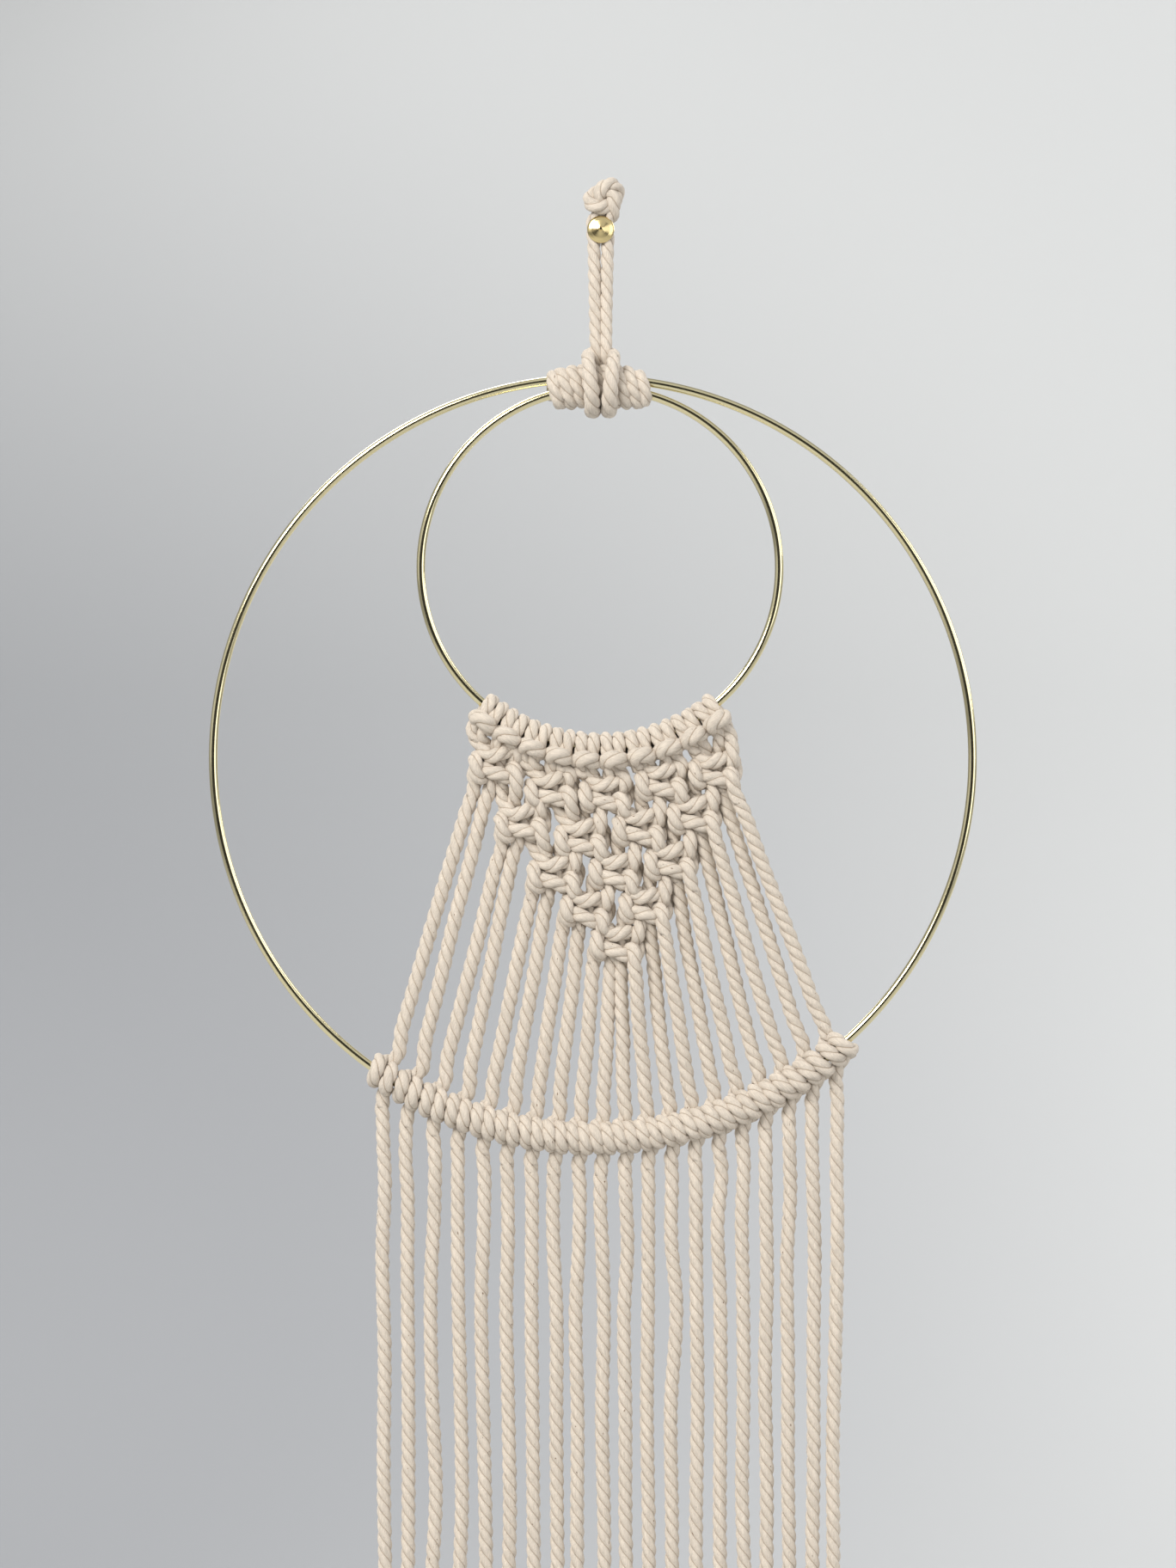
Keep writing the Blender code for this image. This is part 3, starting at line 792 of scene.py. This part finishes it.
def makeBrass(name, colour, scale, depth, turnedOnLathe=False):
    # Polished metal with faint drawn lines and patches that are a little duller. A turned piece shines in
    # sectors, because its fine grooves run round the y axis.
    material = bpy.data.materials.new(name)
    material.use_nodes = True
    nodes, links = material.node_tree.nodes, material.node_tree.links
    shader = nodes["Principled BSDF"]
    shader.inputs["Base Color"].default_value = colour
    shader.inputs["Metallic"].default_value = 1.0
    if turnedOnLathe:
        shader.inputs["Anisotropic"].default_value = brassFacts["lathe"]
        grooves = nodes.new("ShaderNodeTangent")
        grooves.direction_type = "RADIAL"
        grooves.axis = "Y"
        links.new(grooves.outputs["Tangent"], shader.inputs["Tangent"])
    place = nodes.new("ShaderNodeTexCoord")
    patches = nodes.new("ShaderNodeTexNoise")
    patches.inputs["Scale"].default_value = brassFacts["patches"]
    patches.inputs["Detail"].default_value = 4.0
    links.new(place.outputs["Object"], patches.inputs["Vector"])
    dull = nodes.new("ShaderNodeMapRange")
    dull.inputs["To Min"].default_value = brassFacts["smoothest"]
    dull.inputs["To Max"].default_value = brassFacts["dullest"]
    links.new(patches.outputs["Fac"], dull.inputs["Value"])
    links.new(dull.outputs["Result"], shader.inputs["Roughness"])
    scratches = nodes.new("ShaderNodeTexNoise")
    scratches.inputs["Scale"].default_value = scale
    links.new(place.outputs["Object"], scratches.inputs["Vector"])
    bump = nodes.new("ShaderNodeBump")
    bump.inputs["Strength"].default_value = 0.25
    bump.inputs["Distance"].default_value = depth
    links.new(scratches.outputs["Fac"], bump.inputs["Height"])
    links.new(bump.outputs["Normal"], shader.inputs["Normal"])
    return material


hoopBrass = makeBrass("hoop brass", brassFacts["hoop"], 1500.0, 0.03 * mm)
tackBrass = makeBrass("tack brass", brassFacts["tack"], 2500.0, 0.02 * mm, turnedOnLathe=True)


hoopMesh = {"around": 360, "section": 20}


def makeHoop(node, hoop):
    # A ring surface: round the hoop by the angle u and round its wire by v,
    # ((R + r cos v) sin u, r sin v, -(R + r cos v) cos u).
    around, section = hoopMesh["around"], hoopMesh["section"]
    u = np.arange(around)[:, None] * (2 * np.pi / around)
    v = np.arange(section)[None, :] * (2 * np.pi / section)
    reach = hoop["radius"] + hoop["wire"] * np.cos(v)
    points = np.stack((reach * np.sin(u), hoop["wire"] * np.sin(v) + 0 * u, -reach * np.cos(u)), axis=2)
    i = np.arange(around)[:, None] * section
    iNext = (np.arange(around)[:, None] + 1) % around * section
    j = np.arange(section)[None, :]
    jNext = (j + 1) % section
    faces = np.stack((i + j, iNext + j, iNext + jNext, i + jNext), axis=2).reshape(-1, 4)
    mesh = bpy.data.meshes.new("wire_" + node)
    mesh.from_pydata((points.reshape(-1, 3) + hoop["centre"]).tolist(), [], faces.tolist())
    mesh.shade_smooth()
    mesh.materials.append(hoopBrass)
    piece = addPiece("wire_" + node, mesh)
    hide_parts(node)
    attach(piece, "hoops")


makeHoop("large_hoop", largeHoop)
makeHoop("small_hoop", smallHoop)


# profiles of the tack in mm: radius, depth
tackHead = [(0.0, -8.3), (0.55, -8.3), (0.75, -8.15), (0.78, -7.7), (0.95, -7.55), (2.2, -7.15),
            (3.6, -6.75), (4.7, -6.3), (5.2, -5.95), (5.35, -5.75), (5.3, -5.62), (5.1, -5.6), (0.0, -5.6)]
tackShank = [(0.0, -5.25), (0.9, -5.25), (0.9, 6.3), (0.0, 9.0)]
turnedMesh = {"around": 64, "rounding": 0.12, "sharpEdge": 50}    # mm from a corner to its close points


def turned(name, profile, node):
    # A profile of radius against depth, turned about the y axis, (r cos a, depth, r sin a). Close points on
    # either side of each corner keep the shading even up to it.
    profile = np.array(profile)
    gaps = np.linalg.norm(np.diff(profile, axis=0), axis=1)
    place = np.concatenate(([0.0], np.cumsum(gaps)))
    near = turnedMesh["rounding"]
    long = gaps > 3 * near
    reads = np.unique(np.concatenate((place, place[:-1][long] + near, place[1:][long] - near)))
    radius, depth = (np.interp(reads, place, profile[:, k]) * mm for k in (0, 1))
    radius, depth = radius[1:-1], depth[1:-1]
    around = turnedMesh["around"]
    turn = np.arange(around)[None, :] * (2 * np.pi / around)
    radius = radius[:, None]
    skin = np.stack((radius * np.cos(turn), depth[:, None] + 0 * turn, radius * np.sin(turn)), axis=2)
    quads, fans = tubeFaces(len(radius), around, 0)
    middles = [(0, profile[0][1] * mm, 0), (0, profile[-1][1] * mm, 0)]
    points = np.concatenate((skin.reshape(-1, 3), middles))
    mesh = bpy.data.meshes.new(name)
    mesh.from_pydata(points.tolist(), [], [face[::-1] for face in quads.tolist() + fans.tolist()])
    mesh.shade_smooth()
    mesh.set_sharp_from_angle(angle=math.radians(turnedMesh["sharpEdge"]))
    mesh.materials.append(tackBrass)
    piece = addPiece(name, mesh)
    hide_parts(node)
    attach(piece, "tack")


turned("turned_tack_head", tackHead, "tack_head")
turned("turned_tack_shank", tackShank, "tack_shank")
print("brass made")


# ---- stage and light
stageFacts = {
    "size": 60.0,                       # how far it reaches to each side and upwards
    "low": -1.1,
    "back": 3.4,
    "bend": 1.0,                        # radius of the curve between floor and backdrop
    "deepest": (-1.2, 3.4, -1.2),       # where the painted shade is darkest
    "deepWithin": 0.9,
    "paleBeyond": 2.4,
    # the painted shade's tone at the lower left, then the paint's own pale tone
    "deep": (0.325, 0.33, 0.34, 1),
    "pale": (0.535, 0.54, 0.535, 1),
}


def makeStage():
    # A pale floor well below the fringe that curves up into a backdrop far behind, by a quarter circle,
    # (y, z) = (back - bend + bend sin a, low + bend - bend cos a). Its paint is darker to the lower left,
    # painted shade.
    size, low, back, bend = (stageFacts[key] for key in ("size", "low", "back", "bend"))
    angle = np.linspace(0, math.pi / 2, 13)
    y = np.concatenate(([-size], back - bend + bend * np.sin(angle), [back]))
    z = np.concatenate(([low], low + bend * (1 - np.cos(angle)), [size]))
    x = np.repeat([[-size], [size]], len(y), axis=1)
    points = np.stack((x, np.stack((y, y)), np.stack((z, z))), axis=2)
    i = np.arange(len(y) - 1)
    faces = np.stack((i, i + 1, i + 1 + len(y), i + len(y)), axis=1)
    mesh = bpy.data.meshes.new("stage")
    mesh.from_pydata(points.reshape(-1, 3).tolist(), [], faces[:, ::-1].tolist())
    mesh.shade_smooth()
    paint = bpy.data.materials.new("pale wall paint")
    paint.use_nodes = True
    nodes, links = paint.node_tree.nodes, paint.node_tree.links
    # Painted shade: the paint darkens towards one point at the lower left, by its distance from there.
    place = nodes.new("ShaderNodeTexCoord")
    away = nodes.new("ShaderNodeVectorMath")
    away.operation = "DISTANCE"
    away.inputs[1].default_value = stageFacts["deepest"]
    links.new(place.outputs["Object"], away.inputs[0])
    tone = nodes.new("ShaderNodeMapRange")
    tone.interpolation_type = "SMOOTHSTEP"
    tone.inputs["From Min"].default_value = stageFacts["deepWithin"]
    tone.inputs["From Max"].default_value = stageFacts["paleBeyond"]
    links.new(away.outputs["Value"], tone.inputs["Value"])
    ramp = nodes.new("ShaderNodeValToRGB")
    ramp.color_ramp.elements[0].color = stageFacts["deep"]
    ramp.color_ramp.elements[1].color = stageFacts["pale"]
    links.new(tone.outputs["Result"], ramp.inputs["Fac"])
    links.new(ramp.outputs["Color"], nodes["Principled BSDF"].inputs["Base Color"])
    nodes["Principled BSDF"].inputs["Roughness"].default_value = 0.9
    mesh.materials.append(paint)
    addPiece("stage", mesh)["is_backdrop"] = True


makeStage()

# place, what it points at, size in metres, watts, colour
lights = {
    "key": ((-1.3, -1.9, 1.2), (0, 0, -0.25), 1.2, 68, (1.0, 0.985, 0.96)),
    "fill": ((1.9, -1.7, 0.2), (0, 0, -0.3), 1.8, 16, (0.97, 0.98, 1.0)),
    "backdrop": ((3.0, 0.6, 1.2), (1.8, 3.4, 0.4), 2.0, 80, (1, 1, 1)),
    "behind": ((-0.9, 2.4, 1.9), (0, 0, -0.3), 1.6, 60, (1, 1, 1)),
}


def addLight(name, place, target, size, power, colour):
    # A square area light, turned so that its -Z looks at the target.
    data = bpy.data.lights.new(name, "AREA")
    data.size = size
    data.energy = power
    data.color = colour
    light = bpy.data.objects.new(name, data)
    light.location = place
    light.rotation_euler = (Vector(target) - Vector(place)).to_track_quat("-Z", "Y").to_euler()
    bpy.context.scene.collection.objects.link(light)


for name, facts in lights.items():
    addLight(name, *facts)


flagFacts = {"width": 6.6, "height": 3.7, "foot": -1.09, "away": 4.0, "tone": (0.05, 0.05, 0.05, 1)}


def makeFlag():
    # A dark upright card far in front, which only polished metal reflects.
    x, y, z = flagFacts["width"] / 2, -flagFacts["away"], flagFacts["foot"]
    top = z + flagFacts["height"]
    mesh = bpy.data.meshes.new("flag")
    mesh.from_pydata([(-x, y, z), (x, y, z), (x, y, top), (-x, y, top)], [], [(3, 2, 1, 0)])
    card = bpy.data.materials.new("dark card")
    card.use_nodes = True
    shader = card.node_tree.nodes["Principled BSDF"]
    shader.inputs["Base Color"].default_value = flagFacts["tone"]
    shader.inputs["Roughness"].default_value = 1.0
    mesh.materials.append(card)
    flag = addPiece("flag", mesh)
    flag.visible_camera = False
    flag.visible_diffuse = False
    flag.visible_shadow = False
    flag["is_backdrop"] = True


makeFlag()


roomFacts = {"colour": (0.97, 0.98, 1.0, 1), "strength": 0.68}


def makeWorld():
    # Even pale light from all round.
    world = bpy.data.worlds.new("soft room")
    world.use_nodes = True
    background = world.node_tree.nodes["Background"]
    background.inputs["Color"].default_value = roomFacts["colour"]
    background.inputs["Strength"].default_value = roomFacts["strength"]
    return world


bpy.context.scene.world = makeWorld()
bpy.context.scene.view_settings.view_transform = "Standard"
print("stage and light set")

boxes = {"cad": cadBox, "visual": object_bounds()}
{label: [list(corner) for corner in box] for label, box in boxes.items()}
